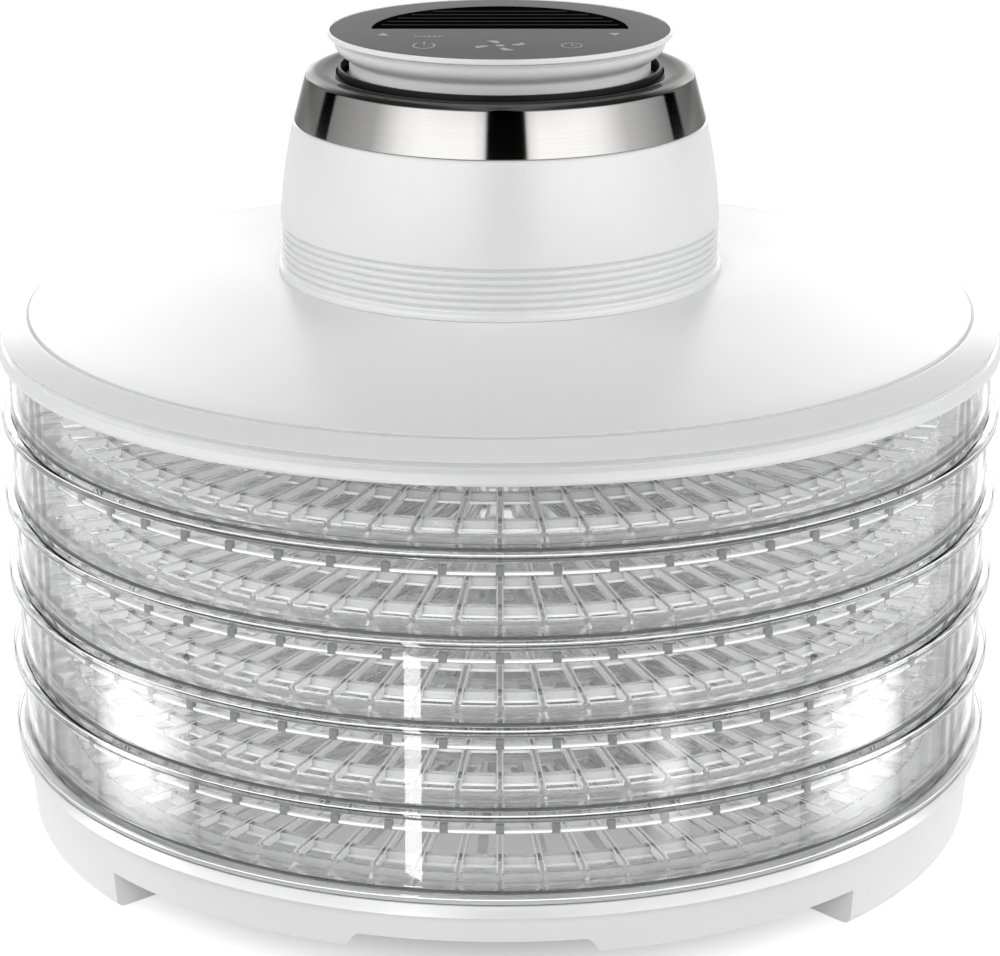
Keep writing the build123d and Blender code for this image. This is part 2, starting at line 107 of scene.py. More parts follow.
def amount(name, description, default):
    """A plain number that a user can change."""
    return FloatProperty(name=name, description=description, default=default)


class DehydratorSizes(bpy.types.PropertyGroup):
    """Sizes that the CAD frame leaves to the looks."""
    rib_count: IntProperty(name="Ribs", description="Ribs round the floor of a tray", default=72)
    rib_width: length("Rib width", "Width of a rib in the floor of a tray", 2.0 * MM)
    floor_height: length("Floor height", "Height of the ribs in the floor of a tray", 3.4 * MM)
    bead_height: length("Bead height", "Height of the bead round a tray", 4.0 * MM)
    wall: length("Tray wall", "Thickness of a tray wall", 2.4 * MM)
    nest_depth: length("Nesting ring", "Depth of the ring that sits in the tray below", 6.0 * MM)
    lug_count: IntProperty(name="Lugs", description="Small lugs round the nesting ring", default=60)
    lug_width: length("Lug width", "Width of a lug on the nesting ring", 2.4 * MM)
    groove_count: IntProperty(name="Grooves", description="Grooves round the foot of the housing", default=6)
    groove_pitch: length("Groove pitch", "Height from one groove to the next", 2.42 * MM)
    groove_width: length("Groove width", "Width of a groove round the housing", 1.0 * MM)
    groove_depth: length("Groove depth", "Depth of the grooves round the housing", 1.1 * MM)
    slat_count: IntProperty(name="Slats", description="Slats across the louvre", default=5)
    symbol_height: length("Symbol height", "Printed symbols standing proud of the panel", 0.12 * MM)
    base_turn: FloatProperty(name="Base turn", description="Turn of the base under the head",
                             default=radians(-3), subtype="ANGLE")


class DehydratorColours(bpy.types.PropertyGroup):
    """Colours of the finishes."""
    white: colour("White plastic", "Satin white mouldings", (0.83, 0.83, 0.835))
    base: colour("Base plastic", "Satin white of the base", (0.9, 0.9, 0.903))
    clear: colour("Clear plastic", "Tint of the clear trays", (0.985, 0.986, 0.987))
    # Painted reflection: the near-black tone of the streaks on the clear walls
    clear_painted_streaks: colour("Painted streaks", "Painted dark reflections on the clear trays where seen along the wall", (0.05, 0.052, 0.055))
    rib: colour("Ribs", "Tint of the ribs in the clear trays", (0.955, 0.956, 0.958))
    collar: colour("Collar", "Collar under the rim of the cap", (0.86, 0.862, 0.868))
    steel: colour("Steel", "Brushed steel ring", (0.3, 0.298, 0.291))
    panel: colour("Panel", "Dark grey touch panel", (0.06, 0.06, 0.063))
    # Painted highlight: the white of the bars along the clear ribs, rings and bead
    edge: colour("Painted highlights on ribs", "Painted highlights on the edges of the clear ribs", (0.95, 0.95, 0.95))
    # Painted shade: the dark of the lugs, rings and knots in the clear trays
    knot: colour("Painted shade in ribs", "Painted shade at the corners of the clear ribs", (0.1, 0.102, 0.106))
    symbol: colour("Symbols", "Pale print on the panel", (0.3, 0.303, 0.31))
    black: colour("Black plastic", "Inlet and gland", (0.012, 0.012, 0.014))
    louvre: colour("Louvre", "Matt black louvre", (0.004, 0.004, 0.0045))
    # Painted highlight: the paler tone of the strips along the slat tops
    slat_painted_highlight: colour("Slat highlights", "Painted highlights along the tops of the slats", (0.06, 0.06, 0.063))


class StudioSettings(bpy.types.PropertyGroup):
    """Camera and light."""
    camera_place: FloatVectorProperty(name="Camera", description="Where the camera stands",
                                      default=(0.0, -0.9843, 0.4378), subtype="XYZ", unit="LENGTH")
    camera_tilt: FloatProperty(name="Camera tilt", description="Camera tilt up from straight down",
                               default=radians(71.57), subtype="ANGLE")
    lens: amount("Lens", "Focal length in millimetres", 110.6)
    side_power: amount("Side lights", "Power of each side light in watts", 3.4)
    front_power: amount("Front light", "Power of the front light in watts", 11.0)
    fill: amount("Fill", "Soft light from all round", 0.36)
    studio_gloss: amount("Studio gloss", "Brightness of the studio in reflections", 4.16)
    clear_light: amount("Clear light", "Brightness of the studio through clear plastic", 1.68)
    strip_glow: amount("Strip glow", "Brightness of the card that puts a bright line on the trays", 14.0)
    band_glow: amount("Band glow", "Brightness of the soft card at the front right", 7.0)
    side_glow: amount("Side glow", "Brightness of the soft cards at the left and right", 11.0)


def sizes():
    return bpy.context.scene.dehydrator_sizes


def colours():
    return bpy.context.scene.dehydrator_colours


def studio():
    return bpy.context.scene.dehydrator_studio


# Modelling helpers

def activate(piece):
    """Select one piece alone and make it active."""
    bpy.ops.object.select_all(action="DESELECT")
    piece.select_set(True)
    bpy.context.view_layer.objects.active = piece


def start_point(name, place):
    """Add a piece of one vertex at a place and stay in edit mode."""
    bpy.ops.object.select_all(action="DESELECT")
    bpy.ops.mesh.primitive_plane_add(size=MM)
    piece = bpy.context.object
    piece.name = piece.data.name = name
    bpy.ops.object.mode_set(mode="EDIT")
    bpy.ops.mesh.select_mode(type="VERT")
    bpy.ops.mesh.select_all(action="SELECT")
    bpy.ops.mesh.merge(type="CENTER")
    bpy.ops.transform.translate(value=place)
    return piece


def extrude_by(step):
    bpy.ops.mesh.extrude_region_move(TRANSFORM_OT_translate={"value": step})


def merge_all():
    bpy.ops.mesh.select_all(action="SELECT")
    bpy.ops.mesh.remove_doubles(threshold=TOUCH)


def draw_line(points):
    """Extrude the selected vertex from point to point."""
    for here, there in zip(points, points[1:]):
        extrude_by(there - here)
    merge_all()


def close_shape():
    """Merge what touches, turn the faces outwards and leave edit mode."""
    merge_all()
    bpy.ops.mesh.normals_make_consistent(inside=False)
    bpy.ops.object.mode_set(mode="OBJECT")


def softened(corners, bend=5):
    """Points of a closed outline of radius, height and rounding, with each corner rounded by its own reach."""
    points = []
    for k, (radius, height, reach) in enumerate(corners):
        here = Vector((radius, 0.0, height))
        if not reach:
            points.append(here)
            continue
        before, after = corners[k - 1], corners[(k + 1) % len(corners)]
        back = (Vector((before[0], 0.0, before[1])) - here).normalized() * reach
        ahead = (Vector((after[0], 0.0, after[1])) - here).normalized() * reach
        for step in range(bend + 1):
            part = step / bend
            points.append(here + back * (1 - part) ** 2 + ahead * part ** 2)
    return points


def turned(name, corners, steps=TURN_STEPS):
    """Spin a closed outline about the axis."""
    points = softened(corners)
    piece = start_point(name, points[0])
    draw_line(points + points[:1])
    bpy.ops.mesh.spin(steps=steps, angle=tau, center=CENTRE, axis=AXIS)
    close_shape()
    return piece


def prism(name, points, reach):
    """Fill a flat outline and extrude it by a reach."""
    piece = start_point(name, points[0])
    draw_line(points + points[:1])
    bpy.ops.mesh.edge_face_add()
    extrude_by(reach)
    close_shape()
    return piece


def plate(name, points, thickness):
    """Fill a flat outline and give it a thickness upwards."""
    return prism(name, points, (0.0, 0.0, thickness))


def combine(piece, tool, operation):
    """Cut a tool out of a piece or fuse it on, and remove the tool."""
    change = piece.modifiers.new(operation, "BOOLEAN")
    change.operation = operation
    change.object = tool
    change.solver = "EXACT"
    activate(piece)
    bpy.ops.object.modifier_apply(modifier=change.name)
    bpy.data.objects.remove(tool)


def round_edges(piece, width, segments=3, angle=40.0):
    """Bevel the edges that are sharper than an angle."""
    change = piece.modifiers.new("rounded edges", "BEVEL")
    change.width = width
    change.segments = segments
    change.limit_method = "ANGLE"
    change.angle_limit = radians(angle)
    change.harden_normals = False
    activate(piece)
    bpy.ops.object.modifier_apply(modifier=change.name)


def join_pieces(name, pieces):
    """Join several pieces into one."""
    activate(pieces[0])
    for piece in pieces:
        piece.select_set(True)
    bpy.ops.object.join()
    pieces[0].name = pieces[0].data.name = name
    return pieces[0]


def finish_piece(piece, finish, slot, body, *nodes):
    """Give a piece its material and smooth shading, and hand it to its body in place of its CAD nodes."""
    piece.data.materials.clear()
    piece.data.materials.append(finish)
    activate(piece)
    bpy.ops.object.shade_smooth_by_angle(angle=SMOOTH_ANGLE)
    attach(piece, body)
    if nodes:
        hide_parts(*nodes)
    return piece


def select_places(piece, mode, test):
    """Select the faces or vertices whose place passes a test, and stay in edit mode."""
    bpy.ops.object.mode_set(mode="EDIT")
    bpy.ops.mesh.select_mode(type=mode)
    bpy.ops.mesh.select_all(action="DESELECT")
    bpy.ops.object.mode_set(mode="OBJECT")
    if mode == "FACE":
        for face in piece.data.polygons:
            face.select = test(face.center)
    else:
        for vertex in piece.data.vertices:
            vertex.select = test(vertex.co)
    bpy.ops.object.mode_set(mode="EDIT")


def plan_angle(place):
    """Angle of a place round the axis, from +X, in radians."""
    return atan2(place.y, place.x)


def plan_point(radius, angle, height=0.0):
    return Vector((radius * cos(angle), radius * sin(angle), height))


# Shader helpers

def new_group(name, inputs, outputs):
    """An empty shader node group with float inputs and its outputs."""
    group = bpy.data.node_groups.new(name, "ShaderNodeTree")
    for label, default in inputs:
        socket = group.interface.new_socket(label, in_out="INPUT", socket_type="NodeSocketFloat")
        socket.default_value = default
    for label in outputs:
        group.interface.new_socket(label, in_out="OUTPUT", socket_type="NodeSocketFloat")
    return group, group.nodes.new("NodeGroupInput"), group.nodes.new("NodeGroupOutput")


def feed(tree, node, values):
    """Link sockets to the inputs of a node, and set the inputs that get a number or a colour."""
    for label, value in values.items():
        if isinstance(value, bpy.types.NodeSocket):
            tree.links.new(value, node.inputs[label])
        else:
            node.inputs[label].default_value = value


def fed_node(tree, kind, values):
    """A new shader node with its inputs fed."""
    node = tree.nodes.new(f"ShaderNode{kind}")
    feed(tree, node, values)
    return node


def math_node(tree, operation, *values):
    """A maths node fed by numbers or sockets, giving its output socket."""
    node = fed_node(tree, "Math", dict(enumerate(values)))
    node.operation = operation
    return node.outputs[0]


def noise_node(tree, vector, scale, detail=2.0, roughness=0.5):
    values = {"Vector": vector, "Scale": scale, "Detail": detail, "Roughness": roughness}
    return fed_node(tree, "TexNoise", values).outputs[0]


def range_node(tree, value, from_low, from_high, to_low=0.0, to_high=1.0):
    """A value moved from one range to another and held at its ends."""
    values = {"Value": value, "From Min": from_low, "From Max": from_high, "To Min": to_low, "To Max": to_high}
    return fed_node(tree, "MapRange", values).outputs[0]


def place_node(tree, kind="Object"):
    """Where a point lies, as one vector."""
    return tree.nodes.new("ShaderNodeTexCoord").outputs[kind]


def place_parts(tree, kind="Object"):
    """Where a point lies, as x, y and z."""
    return fed_node(tree, "SeparateXYZ", {0: place_node(tree, kind)}).outputs


def surface_by(tree, switch, low, high):
    """Show one shader or another by a switch."""
    choice = fed_node(tree, "MixShader", {0: switch, 1: low.outputs[0], 2: high.outputs[0]})
    tree.links.new(choice.outputs[0], tree.nodes["Material Output"].inputs["Surface"])


def neutral(level):
    """An opaque colour without hue."""
    return level, level, level, 1.0


def uneven(group, given, pattern):
    """The group's roughness, spread by a pattern about its middle."""
    offset = math_node(group, "MULTIPLY", math_node(group, "SUBTRACT", pattern, 0.5), given.outputs["Spread"])
    return math_node(group, "ADD", given.outputs["Roughness"], offset)


def moulded_grain():
    """Fine grain and slow unevenness of a moulded surface."""
    name = "moulded grain"
    if name in bpy.data.node_groups:
        return bpy.data.node_groups[name]
    group, given, result = new_group(
        name, [("Grain", 1400.0), ("Roughness", 0.4), ("Spread", 0.06)], ["Height", "Roughness", "Shade"])
    place = place_node(group)
    grain = noise_node(group, place, given.outputs["Grain"], 3.0)
    slow = noise_node(group, place, 34.0, 2.0)
    both = math_node(group, "ADD", math_node(group, "MULTIPLY", grain, 0.4), math_node(group, "MULTIPLY", slow, 0.6))
    feed(group, result, {"Height": grain, "Roughness": uneven(group, given, both), "Shade": slow})
    return group


def brush_marks():
    """Marks of a brush that ran round the axis, fine across and long along."""
    name = "brush marks"
    if name in bpy.data.node_groups:
        return bpy.data.node_groups[name]
    group, given, result = new_group(
        name, [("Fine", 2600.0), ("Along", 3.0), ("Roughness", 0.25), ("Spread", 0.2)], ["Height", "Roughness", "Mark"])
    x, y, z = place_parts(group)
    angle = math_node(group, "ARCTAN2", y, x)
    radius = math_node(group, "SQRT", math_node(group, "ADD", math_node(group, "MULTIPLY", x, x),
                                                math_node(group, "MULTIPLY", y, y)))
    across = math_node(group, "ADD", z, radius)
    join = fed_node(group, "CombineXYZ", {0: math_node(group, "MULTIPLY", angle, given.outputs["Along"]),
                                          1: math_node(group, "MULTIPLY", across, given.outputs["Fine"])})
    mark = noise_node(group, join.outputs[0], 1.0, 4.0, 0.65)
    feed(group, result, {"Height": mark, "Roughness": uneven(group, given, mark), "Mark": mark})
    return group


def place_group(tree, group, **values):
    """Place a node group in a material with its own values."""
    node = tree.nodes.new("ShaderNodeGroup")
    node.node_tree = group
    feed(tree, node, values)
    return node


def two_tones(tree, mask, low, high):
    """A colour that runs from one tone to another along a mask."""
    node = tree.nodes.new("ShaderNodeMix")
    node.data_type = "RGBA"
    feed(tree, node, {"Factor": mask, "A": low, "B": high})
    return node.outputs["Result"]


def ramp_node(tree, value, levels):
    """A value read off a list of places and levels, from place 0 to place 1."""
    ramp = tree.nodes.new("ShaderNodeValToRGB")
    tree.links.new(value, ramp.inputs[0])
    stops = ramp.color_ramp.elements
    for place, level in levels[1:-1]:
        stops.new(place)
    for stop, (place, level) in zip(stops, levels):
        stop.color = neutral(level)
    return ramp.outputs["Color"]


def shaded(tone, factor):
    return *(min(1.0, part * factor) for part in tone), 1.0


def bump(tree, height, strength, distance):
    values = {"Strength": strength, "Distance": distance, "Height": height}
    return fed_node(tree, "Bump", values).outputs["Normal"]


def new_material(name):
    """A material, its node tree and its principled shader."""
    material = bpy.data.materials.new(name)
    material.use_nodes = True
    tree = material.node_tree
    return material, tree, tree.nodes["Principled BSDF"]


def moulded(name, tone, roughness=0.4, grain=1400.0, depth=0.00002, spread=0.08, contrast=0.03, metallic=0.0,
            shine=0.5):
    """A moulded, cast or painted finish with fine grain."""
    if name in bpy.data.materials:
        return bpy.data.materials[name]
    material, tree, shader = new_material(name)
    node = place_group(tree, moulded_grain(), Grain=grain, Roughness=roughness, Spread=spread)
    tones = two_tones(tree, node.outputs["Shade"], shaded(tone, 1 - contrast), shaded(tone, 1 + contrast))
    feed(tree, shader, {"Base Color": tones, "Roughness": node.outputs["Roughness"],
                        "Normal": bump(tree, node.outputs["Height"], 0.25, depth),
                        "Metallic": metallic, "Specular IOR Level": shine, "IOR": PLASTIC_IOR})
    return material


def brushed(name, tone, roughness=0.25, fine=2600.0, along=3.0, spread=0.2, contrast=0.12, anisotropy=0.7,
            painted_dark_crown=None, edge=1.0):
    """A metal brushed round the axis, with a painted dark reflection on the crown above a height where one is given."""
    if name in bpy.data.materials:
        return bpy.data.materials[name]
    material, tree, shader = new_material(name)
    node = place_group(tree, brush_marks(), Fine=fine, Along=along, Roughness=roughness, Spread=spread)
    tones = two_tones(tree, node.outputs["Mark"], shaded(tone, 1 - contrast), shaded(tone, 1 + contrast))
    # Painted reflection: the tone halves above the crown height, for the dark the rolled shoulder reflects
    if painted_dark_crown:
        rise = range_node(tree, place_parts(tree)[2], painted_dark_crown, painted_dark_crown + 1.6 * MM)
        tones = two_tones(tree, rise, tones, shaded(tone, 0.5))
    feed(tree, shader, {"Base Color": tones, "Roughness": node.outputs["Roughness"],
                        "Normal": bump(tree, node.outputs["Height"], 0.1, 0.00002), "Metallic": 1.0,
                        "Anisotropic": anisotropy, "Anisotropic Rotation": 0.25, "Specular Tint": neutral(edge)})
    return material


def white_plastic():
    return moulded("white satin plastic", colours().white, **SATIN)


def black_plastic():
    return moulded("black plastic", colours().black, 0.4, shine=0.2, **DARK)


def clear_plastic():
    return see_through("clear tray plastic", colours().clear, through_part=1.0, bend=1.012, roughness=0.015,
                       coat=1.0, painted_streak_tone=colours().clear_painted_streaks)


def rib_plastic():
    return see_through("clear rib plastic", colours().rib, through_part=0.95, bend=1.32, roughness=0.04)


def hazy_plastic():
    return see_through("hazy rib plastic", colours().rib, through_part=0.7, bend=1.3, roughness=0.2, shadow=0.96)


def see_through(name, tone, through_part, bend, roughness, shadow=0.985, coat=0.0, painted_streak_tone=None):
    """Polished plastic, clear or a little hazy, with painted dark reflections as streaks where it is seen along its
    wall.
    """
    if name in bpy.data.materials:
        return bpy.data.materials[name]
    material, tree, shader = new_material(name)
    flow = noise_node(tree, place_node(tree), 45.0, 0.0)
    base = (*tone, 1.0)
    # Painted reflection: dark streaks mixed into the colour by how far the surface turns from the eye
    if painted_streak_tone:
        facing = tree.nodes.new("ShaderNodeLayerWeight").outputs["Facing"]
        base = two_tones(tree, ramp_node(tree, facing, PAINTED_REFLECTION_STREAKS), base, (*painted_streak_tone, 1.0))
    feed(tree, shader, {"Base Color": base, "Roughness": math_node(tree, "MULTIPLY", flow, 2 * roughness),
                        "IOR": bend, "Transmission Weight": through_part, "Coat Weight": coat})
    path = tree.nodes.new("ShaderNodeLightPath")
    through = fed_node(tree, "BsdfTransparent", {"Color": neutral(shadow)})
    surface_by(tree, path.outputs["Is Shadow Ray"], shader, through)
    return material


# Pieces

class PieceOperator:
    """What every operator of this file shares."""
    bl_options = {"REGISTER", "UNDO"}


class DEHYDRATOR_OT_base(PieceOperator, bpy.types.Operator):
    """Model the white base with its flange, skirt, finger notches and two wide feet"""
    bl_idname = "dehydrator.add_base"
    bl_label = "Base"

    def execute(self, context):
        low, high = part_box("base")
        flange = high.x
        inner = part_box("tray_1_wall")[1].x - 5.4 * MM
        floor_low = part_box("base_floor")[0].z
        under = floor_low - 2.5 * MM
        foot_low, skirt_low = low.z, 13.5 * MM
        ledge, foot_inner = inner - 9.0 * MM, 136.6 * MM
        skirt_inner, beyond = 158.1 * MM, 300.0 * MM
        ring = turned("base_ring", [
            (159.68 * MM, foot_low, 3.2 * MM), (161.6 * MM, high.z - 4.0 * MM, 0.5 * MM),
            (flange, high.z - 4.0 * MM, 0.4 * MM), (flange - 2.0 * MM, high.z - 0.2 * MM, 0.5 * MM),
            (flange - 3.0 * MM, high.z, 0.2 * MM), (inner, high.z, 0.5 * MM),
            (inner, floor_low, 0), (ledge, floor_low, 0.4 * MM), (ledge, under, 0), (foot_inner, under, 0),
            (foot_inner, foot_low, 2.0 * MM)])
        gap = radians(46.3)
        for side in (-pi / 2, pi / 2):
            middle = side + sizes().base_turn
            self.cut_sector(ring, middle, gap, beyond, skirt_low)
            self.cut_sector(ring, middle, gap, skirt_inner, under)
            self.cut_notch(ring, middle, skirt_low)
        round_edges(ring, 1.4 * MM)
        finish = moulded("base satin plastic", colours().base, **SATIN)
        finish_piece(ring, finish, "white_plastic", "base", "base")
        return {"FINISHED"}

    def cut_notch(self, ring, middle, skirt_low):
        """Cut a finger notch with sloping, rounded ends through the skirt."""
        outward = plan_point(1.0, middle)
        along = plan_point(1.0, middle + pi / 2)
        low, top, wide, narrow, bend = 5.0 * MM, skirt_low + 4.4 * MM, 43.2 * MM, 35.2 * MM, 1.6 * MM
        outline = softened([(-wide, low, 0), (wide, low, 0), (narrow, top, bend), (-narrow, top, bend)])
        start, reach = 140.0 * MM, 40.0 * MM
        points = [outward * start + along * place.x + Vector((0.0, 0.0, place.z)) for place in outline]
        combine(ring, prism("cutter", points, outward * reach), "DIFFERENCE")

    def cut_sector(self, ring, middle, half, radius, top):
        """Cut a slice out of the ring from below up to a height."""
        count = 48
        points = [Vector((0.0, 0.0, -MM))]
        for k in range(count + 1):
            points.append(plan_point(radius, middle - half + 2 * half * k / count, -MM))
        combine(ring, plate("cutter", points, top + MM), "DIFFERENCE")


class DEHYDRATOR_OT_trays(PieceOperator, bpy.types.Operator):
    """Model one clear tray with bead, wall, nesting ring, lugs and ribbed floor, and stack its copies"""
    bl_idname = "dehydrator.add_trays"
    bl_label = "Trays"

    def execute(self, context):
        fine = dict(grain=900.0, depth=0.00001, spread=0.1)
        # Painted shade: dark pieces where the clear ribs, lugs and bead look dark
        knots = moulded("rib knots", colours().knot, 0.4, contrast=0.2, **fine)
        # Painted highlights: white bars that stand in for the shine on the edges of the clear plastic
        edges = moulded("rib edges", colours().edge, 0.2, contrast=0.02, shine=1.0, **fine)
        self.stack(self.shell(), "tray_wall", clear_plastic(), "wall")
        self.stack(self.ribbed_floor(), "tray_floor", rib_plastic(), "grid")
        self.stack(self.ring_faces(), "tray_rings", hazy_plastic())
        self.stack(self.edges(), "tray_edges", edges)
        self.stack(self.knots(), "tray_knots", knots)
        return {"FINISHED"}

    def stack(self, piece, name, finish, node=None):
        """Copy a piece of the lowest tray to the others and give each to its tray."""
        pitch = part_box("tray_2_wall")[0].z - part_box("tray_1_wall")[0].z
        for number in range(1, TRAY_COUNT + 1):
            piece.name = piece.data.name = f"{name}_{number}"
            nodes = [f"tray_{number}_{node}"] if node else []
            finish_piece(piece, finish, "clear_plastic", f"tray_{number}", *nodes)
            if number < TRAY_COUNT:
                activate(piece)
                bpy.ops.object.duplicate()
                piece = bpy.context.object
                bpy.ops.transform.translate(value=(0.0, 0.0, pitch))
                bpy.ops.object.transform_apply(location=True, rotation=False, scale=False)

    def level(self):
        """Height of the underside of the lowest tray's bead."""
        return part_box("tray_1_wall")[0].z + sizes().nest_depth

    def shell(self):
        low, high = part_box("tray_1_wall")
        s = sizes()
        bead, level = high.x, self.level()
        wall = bead - 3.0 * MM
        inner = wall - s.wall
        nest = inner - 0.4 * MM
        nest_inner = nest - 2.0 * MM
        band = BAND_EDGE + 0.05 * MM
        floor_top = level + s.floor_height
        return turned("tray_wall", [
            (nest_inner, low.z, 0.5 * MM), (nest, low.z, 0.5 * MM), (nest, level, 0.3 * MM),
            (bead, level, 1.3 * MM), (bead, level + s.bead_height, 1.5 * MM),
            (wall, level + s.bead_height, 0.9 * MM), (wall, high.z, 0.9 * MM), (inner, high.z, 0.7 * MM),
            (inner, floor_top, 1.2 * MM), (band, floor_top, 0.3 * MM), (band, level, 0.3 * MM),
            (nest_inner, level, 0.6 * MM)])

    def ribbed_floor(self):
        """Radial ribs and concentric rings: one sector drawn flat, repeated round the axis and made solid."""
        s = sizes()
        half, clear = s.rib_width / 2, 0.06 * MM
        radii = [radius + side for radius in RINGS for side in (-half, half)] + [FLOOR_EDGE, BAND_EDGE]
        level = self.level() + clear
        pitch = tau / s.rib_count
        points = [Vector((radius, 0.0, level)) for radius in radii]
        floor = start_point("tray_floor", points[0])
        draw_line(points)
        extrude_by((0.0, half, 0.0))
        extrude_by((0.0, -s.rib_width, 0.0))
        bpy.ops.transform.rotate(value=-pitch, orient_axis="Z", center_override=CENTRE)
        extrude_by((-half * sin(pitch), half * cos(pitch), 0.0))
        bpy.ops.mesh.select_all(action="SELECT")
        bpy.ops.mesh.spin(steps=1, angle=pitch, dupli=True, center=CENTRE, axis=AXIS)
        merge_all()
        bpy.ops.object.mode_set(mode="OBJECT")
        gaps = list(zip(radii[1::2], radii[2::2]))

        def opening(place):
            """Whether a face lies between rings and ribs. Inside the third ring every other rib is left out."""
            radius, angle = place.to_2d().length, plan_angle(place)
            if not any(low < radius < high for low, high in gaps):
                return False
            if radius < RINGS[2]:
                return half / radius * 0.9 < angle < 2 * pitch - half / radius * 0.9
            off = abs((angle + pitch / 2) % pitch - pitch / 2)
            return off * radius > half * 0.9

        select_places(floor, "FACE", opening)
        bpy.ops.mesh.delete(type="FACE")
        bpy.ops.mesh.select_all(action="SELECT")
        around = s.rib_count // 2
        bpy.ops.mesh.spin(steps=around - 1, angle=tau - 2 * pitch, dupli=True, center=CENTRE, axis=AXIS)
        merge_all()
        bpy.ops.object.mode_set(mode="OBJECT")
        select_places(floor, "VERT", lambda place: place.to_2d().length < radii[0] + 0.2 * MM)
        bpy.ops.mesh.edge_face_add()
        bpy.ops.mesh.select_all(action="SELECT")
        extrude_by((0.0, 0.0, s.floor_height - 2 * clear))
        close_shape()
        round_edges(floor, 0.3 * MM, segments=2, angle=60.0)
        return floor

    def ring_faces(self):
        """Hazy upright faces of the rings, which catch the light from the front."""
        half, width, low = sizes().rib_width / 2, 0.3 * MM, self.level() + 0.1 * MM
        rise = sizes().floor_height - 0.25 * MM
        return join_pieces("tray_rings", [self.edge_ring(radius + side * (half + width / 2), width, low, rise)
                                          for radius in RINGS[1:] for side in (-1, 1)])

    def edges(self):
        """Painted highlights: white bars along the edges of the clear ribs and rings, of the nesting ring and of the
        bead.
        """
        s = sizes()
        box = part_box("tray_1_wall")
        low, level, top = box[0].z, self.level(), self.level() + s.floor_height - 0.1 * MM
        width, half = 0.5 * MM, s.rib_width / 2
        pieces = [self.edge_ring(NEST_RADIUS, 1.2 * MM, low + 0.3 * MM, 0.8 * MM),
                  self.edge_ring(box[1].x - 0.5 * MM, 0.25 * MM, level + 2.2 * MM, 0.3 * MM)]
        for radius in RINGS[1:]:
            for side in (-1, 1):
                pieces.append(self.edge_ring(radius + side * (half + 0.5 * MM), width, level + 0.1 * MM, 0.8 * MM))
        middle = RINGS[2]
        for near, far, count in ((RINGS[0], middle, s.rib_count // 2), (middle, FLOOR_EDGE, s.rib_count)):
            for side in (-1, 1):
                off = side * (half + 0.06 * MM - width / 2)
                pieces.append(self.round_row(near + MM, far - MM, off, width, top - 1.9 * MM, 2.1 * MM, count))
        return join_pieces("tray_edges", pieces)

    def edge_ring(self, radius, width, low, rise):
        near, far = radius - width / 2, radius + width / 2
        corners = [(near, low, 0), (far, low, 0), (far, low + rise, 0), (near, low + rise, 0)]
        return turned("edge", corners, EDGE_STEPS)

    def knots(self):
        """Painted shade: dark lugs and a dark ring at the nesting ring, a thin dark ring in the bead, and dark knots at
        two floor rings, where the clear plastic looks dark.
        """
        s = sizes()
        low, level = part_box("tray_1_wall")[0].z, self.level()
        near, far = NEST_RADIUS - 0.85 * MM, NEST_RADIUS + 0.85 * MM
        rows = [self.round_row(near, far, 0.0, s.lug_width, low + 0.15 * MM, 2.9 * MM, s.lug_count)]
        for radius in RINGS[3:]:
            near, far = radius - 1.2 * MM, radius + 1.2 * MM
            rows.append(self.round_row(near, far, 0.0, 2.3 * MM, level + 0.1 * MM, 3.3 * MM, s.rib_count))
        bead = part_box("tray_1_wall")[1].x
        rows.append(self.edge_ring(bead - 0.9 * MM, 0.25 * MM, level + 0.3 * MM, 0.3 * MM))
        rows.append(self.edge_ring(NEST_RADIUS + 0.1 * MM, 1.6 * MM, level + 1.4 * MM, 0.5 * MM))
        return join_pieces("tray_knots", rows)

    def round_row(self, near, far, middle, width, low, height, count):
        """A bar from one radius to another, repeated round the axis."""
        left, right = middle - width / 2, middle + width / 2
        corners = [(near, left), (far, left), (far, right), (near, right)]
        row = plate("row", [Vector((x, y, low)) for x, y in corners], height)
        bpy.ops.object.mode_set(mode="EDIT")
        bpy.ops.mesh.select_all(action="SELECT")
        step = tau / count
        bpy.ops.mesh.spin(steps=count - 1, angle=tau - step, dupli=True, center=CENTRE, axis=AXIS)
        close_shape()
        return row


class DEHYDRATOR_OT_lid(PieceOperator, bpy.types.Operator):
    """Model the domed lid with the lip, groove and brow of its edge"""
    bl_idname = "dehydrator.add_lid"
    bl_label = "Lid"

    def execute(self, context):
        low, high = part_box("lid")
        widest, stack = high.x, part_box("tray_5_wall")[1].z
        inner, wall, duct = 162.6 * MM, 2.6 * MM, 50.0 * MM
        brow, brow_z, flat = 154.6 * MM, stack + 7.7 * MM, 75.4 * MM
        under = 159.0 * MM
        lid = turned("lid_shell", [
            (inner, low.z, 0.3 * MM), (widest - 0.3 * MM, low.z, 0.4 * MM), (widest, low.z + MM, 0.4 * MM),
            (163.9 * MM, stack - 0.6 * MM, 0.4 * MM), (161.2 * MM, stack + 0.2 * MM, 0.2 * MM),
            (162.4 * MM, stack + 2.0 * MM, 0.2 * MM), (163.9 * MM, stack + 2.7 * MM, 0.6 * MM),
            (155.6 * MM, stack + 7.0 * MM, 0.5 * MM), (153.8 * MM, stack + 6.5 * MM, 0.15 * MM),
            (brow, brow_z, 0.5 * MM), ((brow + flat) / 2, (brow_z + high.z) / 2 + 0.8 * MM, 30.0 * MM),
            (flat, high.z, 4.0 * MM), (duct, high.z, 0.5 * MM), (duct, high.z - wall, 0.5 * MM),
            (flat, high.z - wall, 4.0 * MM),
            (brow, brow_z - wall, 2.0 * MM), (under, stack, 0.3 * MM), (inner, stack, 0)])
        finish_piece(lid, white_plastic(), "white_plastic", "head", "lid")
        return {"FINISHED"}


